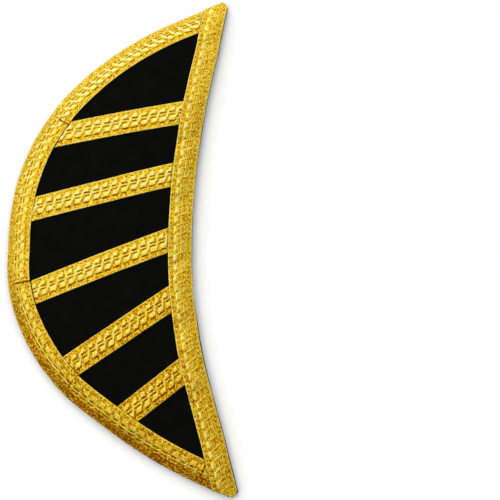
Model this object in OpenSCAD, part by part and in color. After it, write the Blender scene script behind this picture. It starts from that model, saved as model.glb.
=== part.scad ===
// Left shoulder wing of a doublet: a stiffened black cloth crescent with gold lace sewn on it.
// The origin is under the middle of the crescent, on the surface it lies on. X points to the edge
// that is sewn to the shoulder, Y runs along the crescent and Z points up.

/* [Cloth] */
// Thickness of the stiffened cloth
cloth_t = 3; // [2:0.1:3.4]
// Height of the cloth's top face at the outer rim
rim_z = 2.3; // [2:0.1:3]
// How far the cloth stands back under the outer lace
cloth_inset = 0.35; // [0.2:0.05:1]
// Height of the rounding along the cloth's edges
edge_round = 0.8; // [0.4:0.1:1.2]

/* [Dome] */
// Height that the rolled rim drops
roll_drop = 2.6; // [1:0.1:3]
// Width over which the rim rolls down
roll_w = 14; // [10:1:20]
// Height of the dome inside the rolled rim
dome_h = 3.5; // [2:0.1:6]
// Distance from the rim to the top of the dome
dome_w = 60; // [45:1:80]
// Share of the height that is lost again at the inner edge
inner_fall = 0.55; // [0:0.01:0.6]
// Width over which the cloth falls towards the inner edge
inner_w = 24; // [20:1:40]

/* [Lace] */
// Width of the woven lace
lace_w = 13; // [11:0.5:15]
// Width of the two edge laces as seen from above, where they lie on a slope
edge_lace_w = 12.5; // [10.5:0.5:14.5]
// Thickness of the lace at its selvedges
selvedge_t = 0.45; // [0.3:0.05:0.6]
// Thickness of the lace's flat borders
border_t = 0.8; // [0.6:0.05:1]
// Thickness of the lace's raised middle
middle_t = 1.35; // [1:0.05:1.6]
// Thickness of an end that is pressed under another lace
pressed_t = 0.55; // [0.4:0.05:0.65]
// Length of an end that is hidden under another lace
tuck = 4; // [3:0.5:5]
// Gap between the cloth and the lace
seat_gap = 0.15; // [0.1:0.01:0.2]
// Height that a lace rises over a pressed end
tuck_lift = 0.8; // [0.75:0.05:1]
// Narrow border of cloth beside the inner lace, upper half
margin_top = 0.05; // [0:0.05:0.6]
// Narrow border of cloth beside the inner lace, lower half
margin_bottom = 0.4; // [0.1:0.1:1.2]

/* [Hidden] */

// Where the two edges cross the middle of the crescent
outer_mid_x = -60.95;
inner_mid_x = 38.45;

// The edges, from the middle to a tip, as tangent arcs and straight stretches
// columns: length along the edge, degrees it turns
LENGTH = 0;
TURN = 1;
outer_top = [[112.8, 50.9], [50, 15.8], [31, 0]];
outer_bottom = [[8, 0], [86.5, 48.4], [98.9, 18.6]];
inner_top = [[64, 11.7], [71.5, 0]];
inner_bottom = [[9, 0], [60, 13.6], [67.5, 0]];

// The five bars, from the upper tip to the lower one
// columns: middle of the bar in X and Y, degrees that it rises towards the inner edge
bars = [[3.6, 65.3, 9.4],
        [-8.7, 26.5, 13.15],
        [-9.1, -14.2, 20.5],
        [2.7, -49.1, 33.3],
        [20.5, -81.1, 37.2]];

// Cross-section of the lace
// columns: share of the width, thickness
lace_profile = [[0, selvedge_t], [0.05, border_t], [0.15, border_t + 0.05], [0.22, middle_t - 0.05],
                [0.5, middle_t],
                [0.78, middle_t - 0.05], [0.85, border_t + 0.05], [0.95, border_t], [1, selvedge_t]];

// Spacing of the cross-sections
shell_steps = 28;
shell_rows = 13;
shell_crowding = 1.6;
lace_step = 6;
// Clear of a covering lace, where an end is already pressed and where it has its full thickness
pressed_clear = 0.25;
full_clear = 1.1;
// Distances over which a lace rises over a pressed end
lift_reach = 2.5;
lift_ramp = 5;
// How far the inner lace's cut ends stay inside the outline
end_inset_top = 0.1;
end_inset_bottom = 0.8;
// Share of the cloth's width that is rounded beside each edge, where the tips are narrow
tip_round = 1 / 6;
// Height where the lower half's wider cloth border begins, and the length over which it grows
margin_start_y = -25;
margin_grow = 30;
// Where the ends of the laces are looked for, from the middle, and in how many steps
outer_end_from = 100;
inner_end_from = 90;
inner_end_to = 150;
bar_reach = 70;
root_steps = 16;
// Turn in degrees below which a row of an edge is straight, and a distance beyond any other
straight = 1e-6;
far = 1e6;
// Limit on the thickness of a lace that nothing presses
unpressed = 10;

// Geometry of the edges

function ahead(h) = [sin(h), cos(h)];
function right_of(h) = [cos(h), -sin(h)];

// Point reached from p after s along an arc that starts with heading h and turns by a
function arc_end(p, h, s, a) =
    abs(a) < straight ? p + s * ahead(h)
    : let (r = s * 180 / (PI * a)) p + r * (right_of(h) - right_of(h + a));

// The rows of an edge with their starts; columns: start point, heading, length, turn
function edge_arcs(rows, p, h = 0, i = 0) =
    i == len(rows) ? []
    : let (s = rows[i][LENGTH], a = rows[i][TURN])
      concat([[p, h, s, a]], edge_arcs(rows, arc_end(p, h, s, a), h + a, i + 1));

function edge_length(rows, i = 0) = i == len(rows) ? 0 : rows[i][LENGTH] + edge_length(rows, i + 1);

// Point and heading at s along an edge
function edge_at(arcs, s, i = 0) =
    s > arcs[i][2] && i < len(arcs) - 1 ? edge_at(arcs, s - arcs[i][2], i + 1)
    : let (a = arcs[i][3] * s / arcs[i][2])
      [arc_end(arcs[i][0], arcs[i][1], s, a), arcs[i][1] + a];

// Offset of p to the right of one arc, or undef where p lies beside another arc
function straight_offset(v, h, length, first, last) =
    let (s = v * ahead(h))
    (s >= 0 || first) && (s <= length || last) ? v * right_of(h) : undef;
function curved_offset(v, h, r, turn, first, last) =
    let (w = v - r * right_of(h), reached = atan2(w[1], -w[0]))
    (reached >= h || first) && (reached <= h + turn || last) ? r - norm(w) : undef;
function arc_offset(arc, p, first, last) =
    abs(arc[3]) < straight
    ? straight_offset(p - arc[0], arc[1], arc[2], first, last)
    : curved_offset(p - arc[0], arc[1], arc[2] * 180 / (PI * arc[3]), arc[3], first, last);

function nearest(list, best = far, i = 0) =
    i == len(list) ? best
    : nearest(list, is_undef(list[i]) || abs(list[i]) > abs(best) ? best : list[i], i + 1);

function edge_offset(arcs, p) =
    nearest([for (i = [0:len(arcs) - 1]) arc_offset(arcs[i], p, i == 0, i == len(arcs) - 1)]);

outer_arcs = [edge_arcs(outer_top, [outer_mid_x, 0]), edge_arcs(outer_bottom, [outer_mid_x, 0])];
inner_arcs = [edge_arcs(inner_top, [inner_mid_x, 0]), edge_arcs(inner_bottom, [inner_mid_x, 0])];
outer_len = [edge_length(outer_top), edge_length(outer_bottom)];
inner_len = [edge_length(inner_top), edge_length(inner_bottom)];

// side is 0 for the upper half and 1 for the lower half, which is worked out as its mirror image
function mirrored(side, p) = side == 0 ? p : [p[0], -p[1]];
function side_of(p) = p[1] >= 0 ? 0 : 1;

// Distance inside the outer and the inner edge
function from_outer(p) = let (side = side_of(p)) edge_offset(outer_arcs[side], mirrored(side, p));
function from_inner(p) = let (side = side_of(p)) -edge_offset(inner_arcs[side], mirrored(side, p));

// Point w inside an edge, at s along it from the middle
function outer_point(side, s, w) =
    let (e = edge_at(outer_arcs[side], s)) mirrored(side, e[0] + w * right_of(e[1]));
function inner_point(side, s, w) =
    let (e = edge_at(inner_arcs[side], s)) mirrored(side, e[0] - w * right_of(e[1]));

// The cloth's surface

function rise(x, reach) = 1 - pow(1 - min(max(x, 0), reach) / reach, 2);

function top_z(p) =
    let (d = from_outer(p),
         height = roll_drop * rise(d, roll_w) + dome_h * rise(d, dome_w))
    rim_z + height * (1 - inner_fall * (1 - rise(from_inner(p), inner_w)));

function smooth(x) = let (t = min(max(x, 0), 1)) t * t * (3 - 2 * t);
function margin(y) =
    margin_top + (margin_bottom - margin_top) * smooth((margin_start_y - y) / margin_grow);

// How far p is from under the outer and the inner lace
function clear_of_outer(p) = from_outer(p) - edge_lace_w;
function clear_of_inner(p) = from_inner(p) - margin(p[1]) - edge_lace_w;

// Closed solid through a list of loops, each of which runs over the top and back underneath
module skin(loops) {
    n = len(loops[0]);
    last = (len(loops) - 1) * n;
    sides = [for (i = [0:len(loops) - 2]) for (j = [0:n - 1])
             let (a = i * n + j, b = i * n + (j + 1) % n)
             each [[a, b, b + n], [a, b + n, a + n]]];
    caps = [for (j = [0:n / 2 - 2])
            let (a = j, b = j + 1, c = n - 1 - j, d = n - 2 - j)
            each [[a, c, b], [b, c, d],
                  [last + a, last + b, last + c], [last + b, last + d, last + c]]];
    polyhedron([for (loop = loops) each loop], concat(sides, caps));
}

// Cloth

// Positions across the cloth, crowded towards the rolled rim
shell_shares = [for (k = [0:shell_rows - 1]) pow(k / (shell_rows - 1), shell_crowding)];

function shell_loop(side, u) =
    let (a = outer_point(side, u * outer_len[side], cloth_inset),
         b = inner_point(side, u * inner_len[side], 0),
         across = (b - a) / norm(b - a),
         inset = min(edge_round, norm(b - a) * tip_round),
         first = a + across * inset,
         final = b - across * inset,
         plan = [for (t = shell_shares) first + t * (final - first)])
    concat([[a[0], a[1], top_z(a) - edge_round]],
           [for (p = plan) [p[0], p[1], top_z(p)]],
           [[b[0], b[1], top_z(b) - edge_round],
            [b[0], b[1], max(top_z(b) - cloth_t, 0) + edge_round / 2]],
           [for (i = [len(plan) - 1:-1:0]) let (p = plan[i]) [p[0], p[1], max(top_z(p) - cloth_t, 0)]],
           [[a[0], a[1], edge_round / 2]]);

module cloth_shell()
    color("#121212")
    skin([for (i = [shell_steps:-1:-shell_steps]) shell_loop(i < 0 ? 1 : 0, abs(i) / shell_steps)]);

// Laces

// Loop of a lace through the given points of its width, with a limit on its thickness
function lace_loop(points, lifts, limit) =
    let (n = len(points))
    concat([for (i = [0:n - 1])
            let (p = points[i])
            [p[0], p[1], top_z(p) + seat_gap + lifts[i] + min(lace_profile[i][1], limit)]],
           [for (i = [n - 1:-1:0])
            let (p = points[i])
            [p[0], p[1], top_z(p) + seat_gap + lifts[i]]]);

no_lift = [for (row = lace_profile) 0];
edge_widths = [for (row = lace_profile) row[0] * edge_lace_w];
bar_widths = [for (row = lace_profile) (row[0] - 0.5) * lace_w];

// Where the falling distance that measure() gives for this kind of end passes goal
function solve(kind, data, goal, low, high, i = 0) =
    let (mid = (low + high) / 2)
    i == root_steps ? mid
    : measure(kind, data, mid) > goal ? solve(kind, data, goal, mid, high, i + 1)
    : solve(kind, data, goal, low, mid, i + 1);

OUTER_END = 0;
INNER_END = 1;
BAR_LEFT = 2;
BAR_RIGHT = 3;
function measure(kind, data, s) =
    kind == OUTER_END ? clear_of_inner(outer_point(data[0], s, data[1]))
    : kind == INNER_END ? from_outer(lace_point_inner(data[0], s, data[1]))
    : kind == BAR_LEFT ? clear_of_outer(bar_point(data[0], -s, data[1]))
    : clear_of_inner(bar_point(data[0], s, data[1]));

// Point of the inner lace, w in from its own edge
function lace_point_inner(side, s, w) =
    let (edge_y = inner_point(side, s, 0)[1]) inner_point(side, s, margin(edge_y) + w);

function bar_point(k, s, w) =
    let (a = bars[k][2]) [bars[k][0], bars[k][1]] + s * [cos(a), sin(a)] + w * [sin(a), -cos(a)];

// Share of the full lift beside bar k, by the distance from the bar's middle line
function beside_bar(k, p) =
    let (a = bars[k][2],
         off = abs((p - [bars[k][0], bars[k][1]]) * [sin(a), -cos(a)]))
    1 - smooth((off - lace_w / 2 - lift_reach) / lift_ramp);
function beside_bars(p) = max([for (k = [0:len(bars) - 1]) beside_bar(k, p)]);

// A lace rises over what is tucked under the side of it that faces the bars
function tuck_side(clear) = 1 - smooth((-clear - tuck - lift_reach) / lift_ramp);
function outer_lift(p) = tuck_lift * tuck_side(clear_of_outer(p)) * beside_bars(p);
function inner_lift(p) =
    tuck_lift * tuck_side(clear_of_inner(p))
    * max(beside_bars(p), 1 - smooth((clear_of_outer(p) - lift_reach) / lift_ramp));

// The stations of the outer lace's half: its pressed end first, then evenly to the middle
function outer_loops(side) =
    let (cut = function (goal)
             [for (w = edge_widths) solve(OUTER_END, [side, w], goal, outer_end_from, outer_len[side])],
         hidden = cut(-tuck),
         pressed = cut(pressed_clear),
         full = cut(full_clear),
         steps = ceil(max(full) / lace_step),
         at = function (s) [for (i = [0:len(s) - 1]) outer_point(side, s[i], edge_widths[i])],
         loop = function (s, limit) let (p = at(s)) lace_loop(p, [for (q = p) outer_lift(q)], limit))
    concat([loop(hidden, pressed_t), loop(pressed, pressed_t)],
           [for (k = [steps:-1:(side == 0 ? 1 : 0)]) loop(full * k / steps, unpressed)]);

function inner_loops(side) =
    let (inset = side == 0 ? end_inset_top : end_inset_bottom,
         full = [for (w = edge_widths)
                 min(solve(INNER_END, [side, w], inset, inner_end_from, inner_end_to),
                     inner_len[side] - inset + w)],
         steps = ceil(max(full) / lace_step),
         at = function (s) [for (i = [0:len(s) - 1]) lace_point_inner(side, s[i], edge_widths[i])],
         loop = function (s, limit) let (p = at(s)) lace_loop(p, [for (q = p) inner_lift(q)], limit))
    [for (k = [steps:-1:(side == 0 ? 1 : 0)]) loop(full * k / steps, unpressed)];

function reversed(list) = [for (i = [len(list) - 1:-1:0]) list[i]];

module outer_lace()
    color("#d9a520")
    skin(concat(outer_loops(0), reversed(outer_loops(1))));

module inner_lace()
    color("#d9a520")
    skin(concat(inner_loops(1), reversed(inner_loops(0))));

module bar_lace(k) {
    left = function (goal) [for (w = bar_widths) -solve(BAR_LEFT, [k, w], goal, 0, bar_reach)];
    right = function (goal) [for (w = bar_widths) solve(BAR_RIGHT, [k, w], goal, 0, bar_reach)];
    at = function (s) [for (i = [0:len(s) - 1]) bar_point(k, s[i], bar_widths[i])];
    a = left(full_clear);
    b = right(full_clear);
    steps = ceil((max(b) - min(a)) / lace_step);
    pressed = function (s) lace_loop(at(s), no_lift, pressed_t);
    color("#d9a520")
    skin(concat([pressed(right(-tuck)), pressed(right(pressed_clear))],
                [for (i = [steps:-1:0]) lace_loop(at(a + (b - a) * i / steps), no_lift, unpressed)],
                [pressed(left(pressed_clear)), pressed(left(-tuck))]));
}

cloth_shell();
outer_lace();
inner_lace();
bar_lace(0);  // bar_lace_1
bar_lace(1);  // bar_lace_2
bar_lace(2);  // bar_lace_3
bar_lace(3);  // bar_lace_4
bar_lace(4);  // bar_lace_5
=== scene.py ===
"""Left shoulder wing of a doublet: a black cloth crescent, edged and barred with woven gold lace.

Lengths are in millimetres, as in the part's source, until a mesh is made; Blender gets metres.
Along an edge, distances run from its middle, and are below 0 in the lower half.
"""
import math

import bpy
import numpy as np
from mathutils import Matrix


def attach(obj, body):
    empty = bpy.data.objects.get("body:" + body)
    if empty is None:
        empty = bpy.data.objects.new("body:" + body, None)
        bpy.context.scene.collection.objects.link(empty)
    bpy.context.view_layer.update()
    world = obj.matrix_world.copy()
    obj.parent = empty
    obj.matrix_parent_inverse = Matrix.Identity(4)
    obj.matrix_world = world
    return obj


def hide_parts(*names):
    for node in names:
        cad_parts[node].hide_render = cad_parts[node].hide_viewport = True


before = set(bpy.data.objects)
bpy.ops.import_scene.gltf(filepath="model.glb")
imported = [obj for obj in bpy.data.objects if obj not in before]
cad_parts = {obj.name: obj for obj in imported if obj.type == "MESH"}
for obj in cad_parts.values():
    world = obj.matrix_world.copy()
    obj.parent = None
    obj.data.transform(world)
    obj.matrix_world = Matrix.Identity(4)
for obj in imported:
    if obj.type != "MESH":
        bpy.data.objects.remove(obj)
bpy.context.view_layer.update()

MM = 0.001

# The two halves of the crescent, as every pair below is ordered, and the sign of Y in each
UPPER = 0
LOWER = 1
SIGN = (1.0, -1.0)

# Cloth and dome, as in the part
CLOTH_T = 3.0
RIM_Z = 2.3
CLOTH_INSET = 0.35
EDGE_ROUND = 0.8
ROLL_DROP = 2.6
ROLL_W = 14.0
DOME_H = 3.5
DOME_W = 60.0
INNER_FALL = 0.55
INNER_W = 24.0

# Lace, as in the part
LACE_W = 13.0
EDGE_LACE_W = 12.5
TUCK = 4.0
MARGIN_TOP = 0.05
MARGIN_BOTTOM = 0.4
MARGIN_START_Y = -25.0
MARGIN_GROW = 30.0
END_INSET = (0.1, 0.8)

# Hidden ends of the laces. They are pressed flatter than in the part and lift their cover less,
# because the fine meshes show a taller step as a fold
PRESSED_T = 0.3
PRESSED_CLEAR = -0.05
FULL_CLEAR = 0.18
TUCK_LIFT = 0.5
LIFT_REACH = 2.5
LIFT_RAMP = 7.0
# How much thicker than a pressed end a lace may be where it is clear of its cover, and how clear of
# one the inner lace is, which has none
ROOM = 2.0
NEVER_COVERED = 9.0

# The two edges, from the middle to a tip: length, degrees it turns
OUTER_MID_X = -60.95
INNER_MID_X = 38.45
OUTER_TOP = [(112.8, 50.9), (50, 15.8), (31, 0)]
OUTER_BOTTOM = [(8, 0), (86.5, 48.4), (98.9, 18.6)]
INNER_TOP = [(64, 11.7), (71.5, 0)]
INNER_BOTTOM = [(9, 0), (60, 13.6), (67.5, 0)]
# A distance beyond any other
FAR = 1e6

# The bars, from the upper tip down: middle in X and Y, degrees each one rises to the right
BARS = [(3.6, 65.3, 9.4),
        (-8.7, 26.5, 13.15),
        (-9.1, -14.2, 20.5),
        (2.7, -49.1, 33.3),
        (20.5, -81.1, 37.2)]
# Where a dash of the middle groove lies on each bar, and how much painted shade darkens each one
BAR_DASH = [4.55, 1.1, 2.9, 1.1, 2.0]
BAR_SHADE = [0, 0, 0.03, 0.14, 0.19]

# Where the ends of the laces are looked for, from the middle
OUTER_END_FROM = 100.0
INNER_END_FROM = 90.0
INNER_END_TO = 150.0
BAR_REACH = 70.0

# How far the hand-sewn edges wander inwards: distance along the edge, wander
OUTER_WANDER = [(-180, 0.25), (-158, 0), (-138, -0.1), (-122, 0.1), (-103, -0.2), (-93, -0.35),
                (-78, 0.15), (-62, 0.1), (-48, -0.05), (-33, -0.4), (-20, -0.25), (0, 0.2), (18, 0.2),
                (33, -0.1), (48, -0.3), (68, -0.3), (88, 0), (104, 0.3), (125, -0.05), (150, 0), (180, 0)]
INNER_WANDER = [(-127, 0), (-107, -0.1), (-87, 0.3), (-72, 0.4), (-57, 0.1), (-45, -0.2), (-30, 0.25),
                (-10, 0), (13, -0.4), (33, -0.45), (55, -0.4), (73, 0.25), (93, 0.2), (108, -0.3),
                (125, -0.1)]
# The slower and quicker waves of every lace's own wobble, and the length and height of the slowest
WOBBLE_OCTAVES = (1.0, 2.3, 4.1)
WOBBLE_WAVE = 61.0
WOBBLE_H = 0.12

# Woven pattern of the lace, whose raised middle repeats along it
MOTIF = 5.2
STITCH_SHARE = 0.5

# Spacing of the meshes' points along a lace, and how many lie across its top and its underside
LACE_STEP = 0.26
LACE_ROWS = 53
UNDER_ROWS = 5
# Where they lie closer together across it: from, to, and how much closer; the same at the selvedges
FINE_ROWS = [(4.3, 7.1, 1.2), (9.9, 11.2, 0.9)]
FINE_SOFT = 0.6
FINE_SELVEDGE = 1.5
FINE_SELVEDGE_W = 0.6
WIDTH_SAMPLES = 521

# Gap between the cloth and a lace, and the tone of a lace's underside
SEAT = 0.06
UNDER_TONE = 0.4


# Curves in the plane

def ahead(heading):
    return np.stack([np.sin(heading), np.cos(heading)], -1)


def right_of(heading):
    return np.stack([np.cos(heading), -np.sin(heading)], -1)


def edge_arcs(rows, mid_x):
    """Each row's start point, heading, length and turn, as tangent arcs and straight stretches."""
    arcs = []
    start = np.array([mid_x, 0.0])
    heading = 0.0
    for length, degrees in rows:
        turn = math.radians(degrees)
        arcs.append((start, heading, length, turn))
        if turn:
            radius = length / turn
            start = start + radius * (right_of(heading) - right_of(heading + turn))
        else:
            start = start + length * ahead(heading)
        heading += turn
    return arcs


def edge_at(arcs, s):
    """Points and headings at s along an edge. The last piece goes on past its end."""
    points = np.zeros(s.shape + (2,))
    headings = np.zeros(s.shape)
    begin = 0.0
    for i, (start, heading, length, turn) in enumerate(arcs):
        here = s >= begin if i else np.full(s.shape, True)
        local = s[here] - begin
        if turn:
            radius = length / turn
            points[here] = start + radius * (right_of(heading) - right_of(heading + local / radius))
            headings[here] = heading + local / radius
        else:
            points[here] = start + local[..., None] * ahead(heading)
            headings[here] = heading
        begin += length
    return points, headings


def edge_offset(arcs, p):
    """Offset of p to the right of an edge."""
    best = np.full(p.shape[:-1], FAR)
    for i, (start, heading, length, turn) in enumerate(arcs):
        first = i == 0
        last = i == len(arcs) - 1
        if turn:
            radius = length / turn
            from_centre = p - start - radius * right_of(heading)
            reached = np.arctan2(from_centre[..., 1], -from_centre[..., 0])
            offset = radius - np.hypot(from_centre[..., 0], from_centre[..., 1])
            beside = ((reached >= heading) | first) & ((reached <= heading + turn) | last)
        else:
            s = (p - start) @ ahead(heading)
            offset = (p - start) @ right_of(heading)
            beside = ((s >= 0) | first) & ((s <= length) | last)
        best = np.where(beside & (np.abs(offset) < np.abs(best)), offset, best)
    return best


OUTER = [edge_arcs(rows, OUTER_MID_X) for rows in (OUTER_TOP, OUTER_BOTTOM)]
INNER = [edge_arcs(rows, INNER_MID_X) for rows in (INNER_TOP, INNER_BOTTOM)]
OUTER_LEN = [sum(length for length, _ in rows) for rows in (OUTER_TOP, OUTER_BOTTOM)]
INNER_LEN = [sum(length for length, _ in rows) for rows in (INNER_TOP, INNER_BOTTOM)]


def on_both_sides(edges, p):
    folded = np.stack([p[..., 0], np.abs(p[..., 1])], -1)
    return np.where(p[..., 1] >= 0, edge_offset(edges[UPPER], folded), edge_offset(edges[LOWER], folded))


def from_outer(p):
    return on_both_sides(OUTER, p)


def from_inner(p):
    return -on_both_sides(INNER, p)


def along_edge(edges, s, w):
    """Points w to the right of an edge, and its heading there."""
    points = []
    headings = []
    for side in (UPPER, LOWER):
        at, heading = edge_at(edges[side], np.abs(s))
        at = at + w[..., None] * right_of(heading)
        points.append(at * np.array([1.0, SIGN[side]]))
        headings.append(heading)
    upper = s >= 0
    return (np.where(upper[..., None], points[UPPER], points[LOWER]),
            np.where(upper, headings[UPPER], headings[LOWER]))


def value_at(s, rows):
    """The value at s, between rows of distance and value."""
    return np.interp(s, *np.transpose(rows))


# The cloth's surface

def smooth(x):
    t = np.clip(x, 0, 1)
    return t * t * (3 - 2 * t)


def rise(x, reach):
    return 1 - (1 - np.clip(x, 0, reach) / reach) ** 2


def top_z(p):
    d = from_outer(p)
    height = ROLL_DROP * rise(d, ROLL_W) + DOME_H * rise(d, DOME_W)
    return RIM_Z + height * (1 - INNER_FALL * (1 - rise(from_inner(p), INNER_W)))


def margin(y):
    return MARGIN_TOP + (MARGIN_BOTTOM - MARGIN_TOP) * smooth((MARGIN_START_Y - y) / MARGIN_GROW)


def clear_of_outer(p):
    return from_outer(p) - EDGE_LACE_W


def clear_of_inner(p):
    return from_inner(p) - margin(p[..., 1]) - EDGE_LACE_W


# Laces: where each one runs, and how it rises over what is tucked under it

def outer_point(s, w):
    return along_edge(OUTER, s, w + value_at(s, OUTER_WANDER))[0]


def inside_inner(s, w):
    return along_edge(INNER, s, -(w + value_at(s, INNER_WANDER)))[0]


def inner_point(s, w):
    edge_y = along_edge(INNER, s, 0 * s)[0][..., 1]
    return inside_inner(s, margin(edge_y) + w)


def bar_axes(k):
    """The middle of a bar, the way that it runs to the right, and the way down across it."""
    x, y, degrees = BARS[k]
    angle = math.radians(degrees)
    forward = np.array([math.cos(angle), math.sin(angle)])
    down = np.array([math.sin(angle), -math.cos(angle)])
    return np.array([x, y]), forward, down


def bar_point(k, s, w):
    middle, forward, down = bar_axes(k)
    return middle + s[..., None] * forward + (w - LACE_W / 2)[..., None] * down


def near(gap):
    """1 up to LIFT_REACH away from something, and down to 0 over the ramp beyond it."""
    return 1 - smooth((gap - LIFT_REACH) / LIFT_RAMP)


def beside_bar(k, p):
    middle, _, down = bar_axes(k)
    return near(np.abs((p - middle) @ down) - LACE_W / 2)


def beside_bars(p):
    return np.max([beside_bar(k, p) for k in range(len(BARS))], axis=0)


def outer_lift(p):
    return TUCK_LIFT * near(-clear_of_outer(p) - TUCK) * beside_bars(p)


def inner_lift(p):
    over_outer = near(clear_of_outer(p))
    return TUCK_LIFT * near(-clear_of_inner(p) - TUCK) * np.maximum(beside_bars(p), over_outer)


def solve(measure, goal, low, high, w, steps=24):
    """Where measure(s) falls to goal between low and high, for each row w of a lace at once."""
    low = np.full(w.shape, float(low))
    high = np.full(w.shape, float(high))
    for _ in range(steps):
        middle = (low + high) / 2
        above = measure(middle) > goal
        low = np.where(above, middle, low)
        high = np.where(above, high, middle)
    return (low + high) / 2


# The weave

def ridge(x, half):
    """A rounded ridge of height 1 and half-width half along x = 0."""
    return np.sqrt(np.clip(1 - (x / half) ** 2, 0, 1))


def within(x, half, soft):
    """1 where x lies less than half from 0, with a shoulder soft wide."""
    return smooth((half - np.abs(x)) / soft + 0.5)


def between(x, low, high, soft):
    return within(x - (low + high) / 2, (high - low) / 2, soft)


def line(x, width):
    """A soft line along x = 0."""
    return np.exp(-(x / width) ** 2)


def dot(x, y, width_x, width_y):
    """A soft dot at x = 0, y = 0."""
    return np.exp(-(x / width_x) ** 2 - (y / width_y) ** 2)


def wrapped(x, period):
    return x - period * np.round(x / period)


# Thickness of the lace: its ground and borders, and what its forms add or take away
GROUND_T = 0.74
RAISED_T = 0.38
GROOVE_T = 0.13
BORDER_T = 0.84
DIMPLE_T = 0.25
SELVEDGE_T = 0.42

# Its tone, from 0 in a shaded groove to 1 on a highlighted float: the same, where what the raised forms
# add is a painted highlight, and what their flanks, the grooves, the groove beside the second border and
# the far side of the second floats take away is painted shade
GROUND_TONE = 0.46
RAISED_HIGHLIGHT = 0.44
FLANK_SHADE = 0.2
GROOVE_SHADE = 0.26
LAST_GROOVE_SHADE = 0.65
FAR_SIDE_SHADE = 0.16
BORDER_TONE = 0.49
SELVEDGE_TONE = 0.45

# The middle cord: where it lies across the lace, and its height beside the floats
CORD_W = 5.85
CORD_RISE = 0.8
# How round the floats are, and where the painted shade on the far side of the second ones begins
FLOAT_ROUND = 0.6
FAR_SIDE_FROM = 7.8
FAR_SIDE_GROW = 1.8
# The borders: from, to, and where their dimples lie; the softness of their sides
BORDERS = [(0, 2.25, 1.7), (10.9, LACE_W, 11.5)]
BORDER_SOFT = 0.3
DIMPLE_SIZE = (0.5, 0.45)
# The selvedges: width of their rounding, where they turn pale, and the threads that scallop them
SELVEDGE_ROUND = 0.55
PALE_FROM = 1.3
PALE_W = 0.45
SCALLOP_H = 0.06
SCALLOP_PITCH = 1.1


def slanted(a, w, shift, slope, pivot):
    """Distance along the lace from the nearest thread that slants through shift in row pivot."""
    return wrapped(a - shift + slope * (w - pivot), MOTIF)


def floats(x, w, half, soft, middle, reach):
    """Satin pads along one row of the weave."""
    return within(x, half, soft) * ridge(w - middle, reach) ** FLOAT_ROUND


def groove(a, w, strength, shift, half, soft, middle, slope, width):
    """Dashes pressed in along one row of the weave."""
    x = wrapped(a - shift, MOTIF)
    return strength * within(x, half, soft) * line(w - middle - slope * x, width)


def weave(u, w, hand, lean, relief=1.0, puff=1.0, cut=1.15, last_cut=1.0, bead=0.25, rib_rise=0.95):
    """Thickness of the lace and its tone.

    u is 0 in the middle of a dash of the middle groove; w runs over the full width of the lace.
    hand is -1 where the pattern is mirrored, and lean is how much it slants. relief, puff, cut,
    last_cut, bead and rib_rise are the strengths of the whole, of the floats beside the first border,
    of the two middle grooves, of the groove beside the second border, of the painted shade in the
    borders' dimples and of the ribs.
    """
    a = hand * u

    # satin floats either side of a middle cord, and the ribs that join them across it
    first_x = slanted(a, w, shift=0.4, slope=0.72 * lean, pivot=3.5)
    first_half = 1.6 + 0.4 * (w - 3.5)
    first = puff * floats(first_x, w, first_half, soft=0.85, middle=3.45, reach=1.3)
    second_x = slanted(a, w, shift=0.48, slope=0.6 * lean, pivot=7.5)
    second = floats(second_x, w, half=1.9, soft=1.3, middle=8.5, reach=1.75)
    cord = CORD_RISE * ridge(w - CORD_W, half=0.75)
    rib_x = slanted(a, w, shift=-2.5, slope=0.5 * lean, pivot=6)
    rib = rib_rise * within(rib_x, half=0.8, soft=1.1) * between(w, low=3.6, high=8.0, soft=1.2)
    raised = np.maximum(np.maximum(first, second), np.maximum(cord, rib))

    # grooves, as dashes between the ribs
    groove_1 = groove(a, w, cut, shift=0.55, half=1.9 - 0.2 * cut, soft=0.7,
                      middle=5.08, slope=0.09, width=0.32)
    groove_2 = groove(a, w, cut, shift=0.05, half=1.15, soft=0.6,
                      middle=6.72, slope=0.06, width=0.3)
    groove_3 = groove(a, w, last_cut, shift=-0.9, half=1.5, soft=0.6,
                      middle=10.28, slope=0, width=0.36)
    grooves = np.maximum(np.maximum(groove_1, groove_2), groove_3)

    # painted highlight on the raised forms; painted shade on their flanks, in the grooves and on the far
    # side of the second floats
    flank = 4 * raised * (1 - raised)
    thick = GROUND_T + relief * (RAISED_T * raised - GROOVE_T * grooves)
    tone = GROUND_TONE + relief * (RAISED_HIGHLIGHT * raised - FLANK_SHADE * flank - GROOVE_SHADE * grooves
                                   - LAST_GROOVE_SHADE * groove_3)
    tone = tone - FAR_SIDE_SHADE * relief * second * smooth((w - FAR_SIDE_FROM) / FAR_SIDE_GROW)

    # borders of rounded stitches with dimples between them, the dimples painted darker as shade
    x = wrapped(a, MOTIF * STITCH_SHARE)
    for low, high, dimple_w in BORDERS:
        border = between(w, low, high, BORDER_SOFT)
        dimple = dot(x, w - dimple_w, *DIMPLE_SIZE)
        thick = thick * (1 - border) + border * (BORDER_T - DIMPLE_T * dimple)
        tone = tone * (1 - border) + border * (BORDER_TONE - bead * dimple)

    # pale rounded selvedges, scalloped by their threads
    scallop = SCALLOP_H * np.sin(2 * math.pi * a / SCALLOP_PITCH)
    from_edge = np.minimum(w, LACE_W - w) + scallop
    fall = np.clip(1 - from_edge / SELVEDGE_ROUND, 0, 1)
    thick = thick - SELVEDGE_T * (1 - np.sqrt(1 - fall ** 2))
    tone = tone + SELVEDGE_TONE * smooth(PALE_FROM - from_edge / PALE_W)
    return thick, np.clip(tone, 0, 1)


def wobble(s, seed):
    """A slow random wander along s."""
    local = np.random.default_rng(seed)
    total = np.zeros(s.shape)
    for octave in WOBBLE_OCTAVES:
        phase = local.uniform(0, 2 * math.pi)
        total += np.sin(s * 2 * math.pi * octave / WOBBLE_WAVE + phase) / octave
    return total * WOBBLE_H / 2


# Meshes

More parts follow.
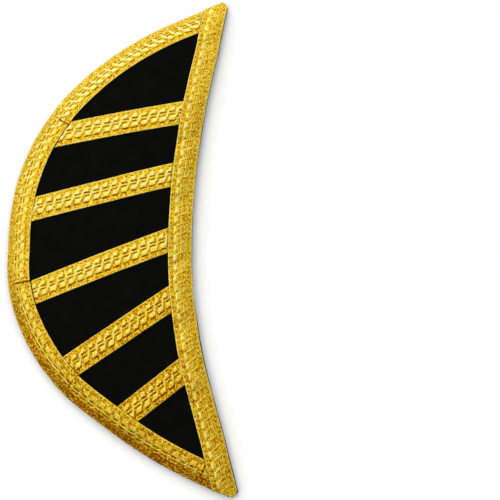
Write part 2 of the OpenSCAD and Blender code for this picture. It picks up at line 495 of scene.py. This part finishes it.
def make_object(name, points, faces, attributes=None):
    mesh = bpy.data.meshes.new(name)
    mesh.from_pydata((np.asarray(points) * MM).tolist(), [], faces)
    for key, values in (attributes or {}).items():
        attribute = mesh.attributes.new(key, "FLOAT", "POINT")
        attribute.data.foreach_set("value", np.asarray(values, np.float32))
    mesh.polygons.foreach_set("use_smooth", [True] * len(mesh.polygons))
    mesh.update()
    piece = bpy.data.objects.new(name, mesh)
    bpy.context.scene.collection.objects.link(piece)
    return piece


def grid_faces(rows, columns, first, flip):
    """Quads over a grid of points numbered from first, columns fastest."""
    i, j = np.meshgrid(np.arange(rows - 1), np.arange(columns - 1), indexing="ij")
    a = (first + i * columns + j).ravel()
    quads = np.stack([a, a + 1, a + 1 + columns, a + columns], -1)
    return (quads[:, ::-1] if flip else quads).tolist()


def width_rows(width):
    """Positions across a lace, closer together where the weave is finer."""
    w = np.linspace(0, LACE_W, WIDTH_SAMPLES)
    density = np.ones(w.shape)
    for low, high, extra in FINE_ROWS:
        density += extra * between(w, low, high, FINE_SOFT)
    density += FINE_SELVEDGE * ((w < FINE_SELVEDGE_W) | (w > LACE_W - FINE_SELVEDGE_W))
    total = np.concatenate([[0], np.cumsum(density[1:])])
    shares = np.linspace(0, total[-1], LACE_ROWS)
    return np.interp(shares, total, w) / LACE_W * width


def lace_piece(node, width, place, start, stop, lift, clear, pattern, seed):
    """A woven lace laid along place(s, w), from start(w) to stop(w), as one closed mesh."""
    w = width_rows(width)
    rows = len(w)
    begin = start(w)
    end = stop(w)
    stations = int(np.ceil(np.max(end - begin) / LACE_STEP)) + 1
    share = np.linspace(0, 1, stations)[:, None]
    s = begin + (end - begin) * share
    across = np.broadcast_to(w, s.shape)
    u, thick, tone = pattern(s, across)
    p = place(s, across + wobble(s, seed))
    room = PRESSED_T + ROOM * smooth((clear(p) - PRESSED_CLEAR) / (ROOM * (FULL_CLEAR - PRESSED_CLEAR)))
    thick = np.minimum(thick, room)
    base = top_z(p) + SEAT + lift(p)
    top = np.concatenate([p, (base + thick)[..., None]], -1)
    under = np.linspace(0, rows - 1, UNDER_ROWS).astype(int)
    bottom = np.concatenate([p, base[..., None]], -1)[:, under]

    # the woven top, the plain underside, and the faces that close the sides and the ends
    n_top = stations * rows
    n_under = len(under)
    flip = np.cross(top[0, 1, :2] - top[0, 0, :2], top[1, 0, :2] - top[0, 0, :2]) < 0
    faces = grid_faces(stations, rows, 0, flip)
    faces += grid_faces(stations, n_under, n_top, not flip)
    for i in range(stations - 1):
        for column, below, turned in ((0, 0, False), (rows - 1, n_under - 1, True)):
            a = i * rows + column
            b = n_top + i * n_under + below
            quad = [a, a + rows, b + n_under, b]
            faces.append(quad if turned == flip else quad[::-1])
    for i, turned in ((0, True), (stations - 1, False)):
        a = [i * rows + j for j in range(rows)]
        b = [n_top + i * n_under + j for j in range(n_under)]
        cap = a + b[::-1]
        faces.append(cap if turned != flip else cap[::-1])

    points = np.concatenate([top.reshape(-1, 3), bottom.reshape(-1, 3)])
    attributes = {
        "lace_u": np.concatenate([u.ravel(), u[:, under].ravel()]),
        "lace_w": np.concatenate([across.ravel(), across[:, under].ravel()]),
        "tone": np.concatenate([tone.ravel(), np.full(stations * n_under, UNDER_TONE)]),
    }
    piece = make_object(f"{node}_woven", points, faces, attributes)
    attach(piece, "root")
    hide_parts(node)
    return piece


def turned_at(edges, s):
    """Angle that an edge has turned at s, the same sign as s."""
    heading = along_edge(edges, s, 0 * s)[1]
    return heading * np.sign(s)


# The outer lace's weave along its length. The rows go with the distances in OUTER_AT: how much the
# weave leans, its relief, how high its ribs and its first floats rise, how deep its middle grooves
# are and how much painted shade they hold, the painted shade on its falling edge (below 0, painted
# light), and its brightest tone, which caps the painted highlights lower where less light falls
OUTER_AT = [-165, -130, -90, -57, -24, 5, 50, 76, 104, 145]
OUTER_LEAN = [0.15, 0.15, 0.15, 0.25, 0.4, 0.5, 0.8, 0.9, 1, 1.1]
OUTER_RELIEF = [1.2, 1.25, 1.25, 1.1, 0.85, 0.8, 0.9, 1.05, 1.2, 1.2]
OUTER_RIB = [0.63, 0.63, 0.63, 0.65, 0.85, 1.0, 0.95, 1.0, 1.0, 1.0]
OUTER_PUFF = [0.25, 0.2, 0.2, 0.3, 0.5, 0.7, 1, 0.7, 0.4, 0.4]
OUTER_CUT = [2.6, 2.4, 2.2, 1.9, 1.1, 0.6, 0.9, 0.8, 0.8, 0.9]
OUTER_SHADE = [0.36, 0.38, 0.34, 0.24, 0.08, 0, 0, -0.03, -0.05, -0.05]
OUTER_BRIGHTEST = [0.6, 0.6, 0.63, 0.7, 0.85, 0.92, 1, 1, 1, 1]

# Share of the shade that lies over the full width, and where the rest sets in towards the rim
SHADE_OVERALL = 0.15
SHADE_FROM = 5.2
SHADE_GROW = 2.5
# How dark the painted shade in its borders' dimples is, and how much darker it grows under the painted
# shade of the falling edge
OUTER_BEAD = 0.32
SHADE_BEAD = 0.6
# How deep the groove beside the second border is, and how dark its painted shade, on the two edge laces
EDGE_LAST_CUT = 0.3

# Darts that take in the outer lace where it bends: distance along its edge, where the dash beyond
# lies, and depth. A dart is a fold, painted lighter as a highlight, with painted shade in a crease before
# it and a dark seam beyond it, that sets in across the lace from DART_FROM
DARTS = [(-175, 4.5, 0.6), (-89.5, 0.0, 0.5), (-23.5, 2.5, 1.0), (76.5, 4.8, 0.6)]
FIRST_DASH = 3.9
DART_FROM = 2.4
DART_GROW = 4
DART_H = 0.5
DART_W = 1.7
CREASE_AT = -0.1
CREASE_W = 0.15
CREASE_W_BY_DEPTH = 0.35
SEAM_AT = 2.1
SEAM_W = 0.3
FOLD_HIGHLIGHT = 0.15
CREASE_SHADE = 1.2
SEAM_TONE = 0.4


def outer_pattern(s, w):
    """The outer lace's weave, taken in by a dart where the lace bends."""
    full_w = w * LACE_W / EDGE_LACE_W
    u = s - EDGE_LACE_W / 2 * turned_at(OUTER, s)
    dash_at = np.full(s.shape, FIRST_DASH)
    for at, beyond, _ in DARTS:
        dash_at = np.where(s > at, beyond, dash_at)
    rows = (OUTER_LEAN, OUTER_RELIEF, OUTER_RIB, OUTER_PUFF, OUTER_CUT, OUTER_SHADE, OUTER_BRIGHTEST)
    lean, relief, rib, puff, cut, shade, brightest = (np.interp(s, OUTER_AT, row) for row in rows)
    thick, tone = weave(u - dash_at, full_w, -1, lean, relief, puff, cut, EDGE_LAST_CUT,
                        bead=OUTER_BEAD + SHADE_BEAD * shade, rib_rise=rib)
    falling = SHADE_OVERALL + (1 - SHADE_OVERALL) * smooth((SHADE_FROM - full_w) / SHADE_GROW)
    # the painted highlights are capped, and painted shade is laid on the falling edge
    tone = np.minimum(tone, brightest) - shade * falling
    taken_in = smooth((full_w - DART_FROM) / DART_GROW)
    for at, _, depth in DARTS:
        off = s - at
        fold = np.where(off > 0, smooth(1 - off / DART_W), 0) * taken_in * depth
        crease = line(off - CREASE_AT, CREASE_W + CREASE_W_BY_DEPTH * depth) * taken_in * depth
        seam = line(off - SEAM_AT, SEAM_W) * taken_in * depth
        thick = thick + DART_H * fold
        # a painted highlight on the fold, painted shade in the crease before it, and the dark seam beyond
        tone = tone + FOLD_HIGHLIGHT * fold - CREASE_SHADE * crease - SEAM_TONE * seam
    return u, thick, tone


# The inner lace's weave: length of its motif, where its first dash lies, how much it leans, where the
# painted highlight on its floats and its dimples, painted with shade, lie across it, the crease beside
# each rib, painted with shade, and its picks' pitch
INNER_MOTIF = 5.28
INNER_DASH = -0.3
INNER_LEAN = 0.45
LIT_W = 9.1
SHADED_DIMPLE_W = 10.5
CREASE_BESIDE = 0.6
PICK_PITCH = 0.95
# How its ribs and its shaded dimples fade, and the painted light and shade along it, darker towards the
# lower tip: distance along the edge, value
INNER_RIBS = [(-40, 1), (20, 0.5)]
INNER_SHADED_DIMPLES = [(-70, 1), (-40, 0.4)]
INNER_LIGHT_AND_SHADE = [(-90, -0.07), (0, 0.02)]


def inner_pattern(s, w):
    """The inner lace's weave: flat, with thin ribs, fine picks and dimples; painted highlights on its
    ribs and floats, painted shade in its creases and dimples.
    """
    full_w = w * LACE_W / EDGE_LACE_W
    u = (s + EDGE_LACE_W / 2 * turned_at(INNER, s) - INNER_DASH) * MOTIF / INNER_MOTIF
    thick, tone = weave(u, full_w, 1, 0.9, relief=0.24, puff=0.4, cut=1.3, last_cut=EDGE_LAST_CUT,
                        bead=0.4)
    rib_x = slanted(u, full_w, shift=-2.5, slope=INNER_LEAN, pivot=6)
    reach = between(full_w, low=2.4, high=9.9, soft=0.8)
    rib = line(rib_x, width=0.32) * reach * value_at(s, INNER_RIBS)
    crease = line(rib_x + CREASE_BESIDE, width=0.25) * reach
    lit_x = slanted(u, full_w, shift=0.1, slope=INNER_LEAN, pivot=9)
    lit = within(lit_x, half=1.4, soft=1.2) * line(full_w - LIT_W, width=0.65)
    shaded_dimple_x = wrapped(u, MOTIF * STITCH_SHARE)
    shaded_dimple = dot(shaded_dimple_x, full_w - SHADED_DIMPLE_W, width_x=0.55, width_y=0.5) * value_at(s, INNER_SHADED_DIMPLES)
    picks = np.sin(2 * math.pi * full_w / PICK_PITCH) * between(full_w, low=2.6, high=8.4, soft=0.8)
    thick = thick + 0.07 * rib + 0.15 * lit - 0.06 * crease - 0.06 * shaded_dimple + 0.03 * picks
    # painted light and shade along the lace, darker towards the lower tip; then painted highlights on the
    # ribs and floats, and painted shade in the creases and dimples
    tone = tone + value_at(s, INNER_LIGHT_AND_SHADE)
    tone = tone + 0.14 * picks + 0.22 * rib + 0.55 * lit - 0.27 * crease - 0.25 * shaded_dimple
    return u, thick, tone


def build_outer_lace():
    def end(side):
        sign = SIGN[side]
        return lambda w: sign * solve(lambda s: clear_of_inner(outer_point(sign * s, w)), -TUCK,
                                      OUTER_END_FROM, OUTER_LEN[side], w)

    return lace_piece("outer_lace", EDGE_LACE_W, outer_point, end(LOWER), end(UPPER),
                      outer_lift, clear_of_inner, outer_pattern, seed=11)


def build_inner_lace():
    def end(side):
        sign = SIGN[side]
        inset = END_INSET[side]

        def cut(w):
            reach = solve(lambda s: from_outer(inner_point(sign * s, w)), inset,
                          INNER_END_FROM, INNER_END_TO, w)
            return sign * np.minimum(reach, INNER_LEN[side] - inset + w)
        return cut

    def clear(p):
        return np.full(p.shape[:-1], NEVER_COVERED)

    return lace_piece("inner_lace", EDGE_LACE_W, inner_point, end(LOWER), end(UPPER),
                      inner_lift, clear, inner_pattern, seed=12)


def build_bar_lace(k):
    def place(s, w):
        return bar_point(k, s, w)

    def left(w):
        return -solve(lambda s: clear_of_outer(place(-s, w)), -TUCK, 0, BAR_REACH, w)

    def right(w):
        return solve(lambda s: clear_of_inner(place(s, w)), -TUCK, 0, BAR_REACH, w)

    def lift(p):
        return np.zeros(p.shape[:-1])

    def clear(p):
        return np.minimum(clear_of_outer(p), clear_of_inner(p))

    def pattern(s, w):
        thick, tone = weave(s - BAR_DASH[k], w, 1, 1.0)
        return s, thick, tone - BAR_SHADE[k]

    return lace_piece(f"bar_lace_{k + 1}", LACE_W, place, left, right,
                      lift, clear, pattern, seed=21 + k)


# Cloth

CLOTH_STEPS = 150
CLOTH_ROWS = 61
CLOTH_CROWDING = 1.4
ROUND_STEPS = 4
# The cloth's rounding is at most one part of this many of its width, where the tips are narrow
TIP_PARTS = 6


def build_cloth():
    """The crescent as closed loops: over the top, round each edge and back underneath."""
    loops = []
    quarter = np.linspace(0, math.pi / 2, ROUND_STEPS + 1)
    share = np.linspace(0, 1, CLOTH_ROWS) ** CLOTH_CROWDING
    for i in range(CLOTH_STEPS, -CLOTH_STEPS - 1, -1):
        side = LOWER if i < 0 else UPPER
        along = SIGN[side] * (abs(i) / CLOTH_STEPS)
        a = outer_point(np.array(along * OUTER_LEN[side]), np.array(CLOTH_INSET))
        b = inside_inner(np.array(along * INNER_LEN[side]), np.array(0.0))
        reach = float(np.linalg.norm(b - a))
        across = (b - a) / reach
        inset = min(EDGE_ROUND, reach / TIP_PARTS)
        first = a + across * inset
        final = b - across * inset
        plan = first + share[:, None] * (final - first)
        high = top_z(plan)
        low = np.maximum(high - CLOTH_T, 0)
        over_a = first - across * (inset * np.sin(quarter[:0:-1]))[:, None]
        over_b = final + across * (inset * np.sin(quarter[1:]))[:, None]
        drop = EDGE_ROUND * (1 - np.cos(quarter[1:]))
        loop = [np.column_stack([over_a, high[0] - drop[::-1]]),
                np.column_stack([plan, high]),
                np.column_stack([over_b, high[-1] - drop]),
                np.column_stack([over_b[::-1], low[-1] + drop[::-1] / 2]),
                np.column_stack([plan[::-1], low[::-1]]),
                np.column_stack([over_a[::-1], low[0] + drop / 2])]
        loops.append(np.concatenate(loop))
    points = np.concatenate(loops)
    n = len(loops[0])
    faces = []
    for i in range(len(loops) - 1):
        for j in range(n):
            a = i * n + j
            b = i * n + (j + 1) % n
            faces.append([a, b, b + n, a + n])
    faces.append(list(range(n))[::-1])
    faces.append(list(range((len(loops) - 1) * n, len(loops) * n)))
    piece = make_object("cloth_board", points, faces)
    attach(piece, "root")
    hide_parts("cloth_shell")
    return piece


# Materials

def new_material(name):
    material = bpy.data.materials.new(name)
    material.use_nodes = True
    nodes = material.node_tree.nodes
    return material, nodes, material.node_tree.links, nodes["Principled BSDF"]


def math_node(nodes, links, operation, *values):
    """A sum over numbers and other nodes' outputs."""
    node = nodes.new("ShaderNodeMath")
    node.operation = operation
    for socket, value in zip(node.inputs, values):
        if isinstance(value, (int, float)):
            socket.default_value = value
        else:
            links.new(value, socket)
    return node.outputs[0]


def attribute_node(nodes, name):
    node = nodes.new("ShaderNodeAttribute")
    node.attribute_name = name
    return node.outputs["Fac"]


def noise_node(nodes, links, scale, detail):
    """Noise over a piece, in its own coordinates."""
    coordinates = nodes.new("ShaderNodeTexCoord")
    node = nodes.new("ShaderNodeTexNoise")
    node.inputs["Scale"].default_value = scale
    node.inputs["Detail"].default_value = detail
    links.new(coordinates.outputs["Object"], node.inputs["Vector"])
    return node.outputs["Fac"]


def add_bump(nodes, links, shader, height, strength, distance):
    bump = nodes.new("ShaderNodeBump")
    bump.inputs["Strength"].default_value = strength
    bump.inputs["Distance"].default_value = distance
    links.new(height, bump.inputs["Height"])
    links.new(bump.outputs["Normal"], shader.inputs["Normal"])


def color_ramp(nodes, links, value, stops):
    """The colour at value, for stops given as (position, red, green, blue)."""
    ramp = nodes.new("ShaderNodeValToRGB")
    elements = ramp.color_ramp.elements
    elements[1].position = stops[-1][0]
    elements[1].color = (*stops[-1][1:], 1)
    elements[0].position = stops[0][0]
    elements[0].color = (*stops[0][1:], 1)
    for position, *color in stops[1:-1]:
        elements.new(position).color = (*color, 1)
    links.new(value, ramp.inputs["Fac"])
    return ramp.outputs["Color"]


# Colours of the gold thread by tone: the browns at the low end carry the painted shade of its grooves and
# flanks, the pale lemon at the top the painted highlight of its floats
GOLD = ((0.0, 0.24, 0.06, 0.0005),
        (0.25, 0.46, 0.22, 0.004),
        (0.5, 0.59, 0.395, 0.012),
        (0.75, 0.65, 0.51, 0.06),
        (1.0, 0.70, 0.655, 0.29))
GOLD_ROUGHNESS = 0.4
# Flecks where threads cross. They change the tone by FLECK_TONE times what it lacks of FLECK_FADE
FLECKS_PER_MM = 1.4
FLECK_STRETCH = 1.4
FLECK_TONE = 0.68
FLECK_FADE = 1.45
FLECK_HEIGHT = 0.00013
# Fine threads across each fleck
THREAD_PITCH = 0.33
THREAD_SLIP = 2.5
THREAD_RISE = 0.1


def gold_material():
    material, nodes, links, shader = new_material("gold_lace_thread")
    tone = attribute_node(nodes, "tone")
    u = attribute_node(nodes, "lace_u")
    w = attribute_node(nodes, "lace_w")

    # flecks, a little longer along the lace than across it and fainter on its bright floats
    place = nodes.new("ShaderNodeCombineXYZ")
    links.new(u, place.inputs["X"])
    links.new(math_node(nodes, links, "MULTIPLY", w, FLECK_STRETCH), place.inputs["Y"])
    flecks = nodes.new("ShaderNodeTexVoronoi")
    flecks.inputs["Scale"].default_value = FLECKS_PER_MM
    links.new(place.outputs["Vector"], flecks.inputs["Vector"])
    random = nodes.new("ShaderNodeSeparateXYZ")
    links.new(flecks.outputs["Color"], random.inputs["Vector"])
    spread = math_node(nodes, links, "MULTIPLY_ADD", random.outputs["X"], FLECK_TONE, -FLECK_TONE / 2)
    plain = math_node(nodes, links, "SUBTRACT", FLECK_FADE, tone)
    mixed = math_node(nodes, links, "MULTIPLY_ADD", spread, plain, tone)
    links.new(color_ramp(nodes, links, mixed, GOLD), shader.inputs["Base Color"])
    shader.inputs["Metallic"].default_value = 1.0
    shader.inputs["Roughness"].default_value = GOLD_ROUGHNESS

    # each fleck is a little bead of thread, with fine threads across it
    phase = math_node(nodes, links, "MULTIPLY", u, 2 * math.pi / THREAD_PITCH)
    slip = math_node(nodes, links, "MULTIPLY", w, THREAD_SLIP)
    threads = math_node(nodes, links, "SINE", math_node(nodes, links, "ADD", phase, slip))
    fine = math_node(nodes, links, "MULTIPLY", threads, THREAD_RISE)
    height = math_node(nodes, links, "SUBTRACT", fine, flecks.outputs["Distance"])
    add_bump(nodes, links, shader, height, strength=1.0, distance=FLECK_HEIGHT)
    return material


# Milled black wool: its darkest and palest colours, its fibres and the slower change of its nap
BLACK = ((0.35, 0.0015, 0.0015, 0.0014), (0.75, 0.0035, 0.0035, 0.003))
FIBRES_PER_M = 2600
NAP_PER_M = 120
FIBRE_HEIGHT = 0.0002


def cloth_material():
    material, nodes, links, shader = new_material("black_melton")
    fibres = noise_node(nodes, links, FIBRES_PER_M, detail=4)
    nap = noise_node(nodes, links, NAP_PER_M, detail=3)
    both = math_node(nodes, links, "ADD", fibres, nap)
    half = math_node(nodes, links, "MULTIPLY", both, 0.5)
    links.new(color_ramp(nodes, links, half, BLACK), shader.inputs["Base Color"])
    shader.inputs["Roughness"].default_value = 0.95
    shader.inputs["Specular IOR Level"].default_value = 0.03
    shader.inputs["Sheen Weight"].default_value = 0.01
    shader.inputs["Sheen Roughness"].default_value = 0.5
    add_bump(nodes, links, shader, fibres, strength=0.6, distance=FIBRE_HEIGHT)
    return material


# The floor: its two whites, half its width, and how far it lies below the wing, in metres
PALE = ((0, 0.90, 0.90, 0.90), (1, 0.94, 0.94, 0.94))
GRAIN_PER_M = 8
FLOOR_HALF = 3.0
FLOOR_DROP = 0.00005


def floor_material():
    material, nodes, links, shader = new_material("pale_floor")
    grain = noise_node(nodes, links, GRAIN_PER_M, detail=2)
    links.new(color_ramp(nodes, links, grain, PALE), shader.inputs["Base Color"])
    shader.inputs["Roughness"].default_value = 0.9
    shader.inputs["Specular IOR Level"].default_value = 0.1
    return material


# Camera, light and floor

# Brightness all round: its mean, how it grows along Y and X, and its least
WORLD_MEAN = 0.76
WORLD_SLOPE_Y = 0.6
WORLD_SLOPE_X = -0.18
WORLD_LEAST = 0.32
# The camera's place in metres, and its angles in degrees
CAMERA_AT = (0.06728, -0.14694, 0.6657)
CAMERA_TILT = 12.0
CAMERA_ROLL = -1.0
VIEW_ANGLE = 22.5
SENSOR_W = 36
# Round lights: name, place and size in metres, power in watts, and where it points
LIGHTS = [("key", (-0.443, 0.709, 0.996), 1.8, 6.4, (0, 0, 0)),
          ("fill", (-0.30, -0.29, 0.84), 0.45, 1.6, (-0.03, -0.1, 0)),
          ("edge", (0.42, 0.46, 0.60), 0.5, 0.5, (0.04, 0.1, 0))]


def build_camera():
    camera = bpy.data.cameras.new("camera")
    camera.sensor_width = SENSOR_W
    camera.lens = SENSOR_W / 2 / math.tan(math.radians(VIEW_ANGLE / 2))
    piece = bpy.data.objects.new("camera", camera)
    piece.location = CAMERA_AT
    piece.rotation_euler = (math.radians(CAMERA_TILT), 0, math.radians(CAMERA_ROLL))
    bpy.context.scene.collection.objects.link(piece)
    bpy.context.scene.camera = piece


def build_light(name, at, size, power, target):
    light = bpy.data.lights.new(name, "AREA")
    light.shape = "DISK"
    light.size = size
    light.energy = power
    piece = bpy.data.objects.new(name, light)
    piece.location = at
    direction = np.array(target) - np.array(at)
    yaw = math.atan2(direction[1], direction[0])
    pitch = math.atan2(math.hypot(direction[0], direction[1]), -direction[2])
    piece.rotation_euler = (pitch, 0, yaw - math.pi / 2)
    bpy.context.scene.collection.objects.link(piece)


def build_floor():
    floor = bpy.data.meshes.new("floor")
    corners = [(-1, -1), (1, -1), (1, 1), (-1, 1)]
    floor.from_pydata([(x * FLOOR_HALF, y * FLOOR_HALF, 0) for x, y in corners], [], [[0, 1, 2, 3]])
    piece = bpy.data.objects.new("floor", floor)
    piece.location = (0, 0, -FLOOR_DROP)
    piece.data.materials.append(floor_material())
    bpy.context.scene.collection.objects.link(piece)


def studio_world():
    """A soft studio that is bright towards the upper left of the picture and dim at the lower right."""
    world = bpy.data.worlds.new("studio")
    world.use_nodes = True
    nodes = world.node_tree.nodes
    links = world.node_tree.links
    coordinates = nodes.new("ShaderNodeTexCoord")
    apart = nodes.new("ShaderNodeSeparateXYZ")
    links.new(coordinates.outputs["Generated"], apart.inputs["Vector"])
    upwards = math_node(nodes, links, "MULTIPLY_ADD", apart.outputs["Y"], WORLD_SLOPE_Y, WORLD_MEAN)
    sideways = math_node(nodes, links, "MULTIPLY_ADD", apart.outputs["X"], WORLD_SLOPE_X, upwards)
    lit = math_node(nodes, links, "MAXIMUM", sideways, WORLD_LEAST)
    nodes["Background"].inputs["Color"].default_value = (1, 1, 1, 1)
    links.new(lit, nodes["Background"].inputs["Strength"])
    return world


def build_stage():
    build_floor()
    bpy.context.scene.world = studio_world()
    bpy.context.scene.view_settings.view_transform = "Standard"
    for light in LIGHTS:
        build_light(*light)


build_camera()
gold = gold_material()
cloth = cloth_material()
laces = [build_outer_lace(), build_inner_lace()] + [build_bar_lace(k) for k in range(len(BARS))]
for lace in laces:
    lace.data.materials.append(gold)
board = build_cloth()
board.data.materials.append(cloth)
build_stage()
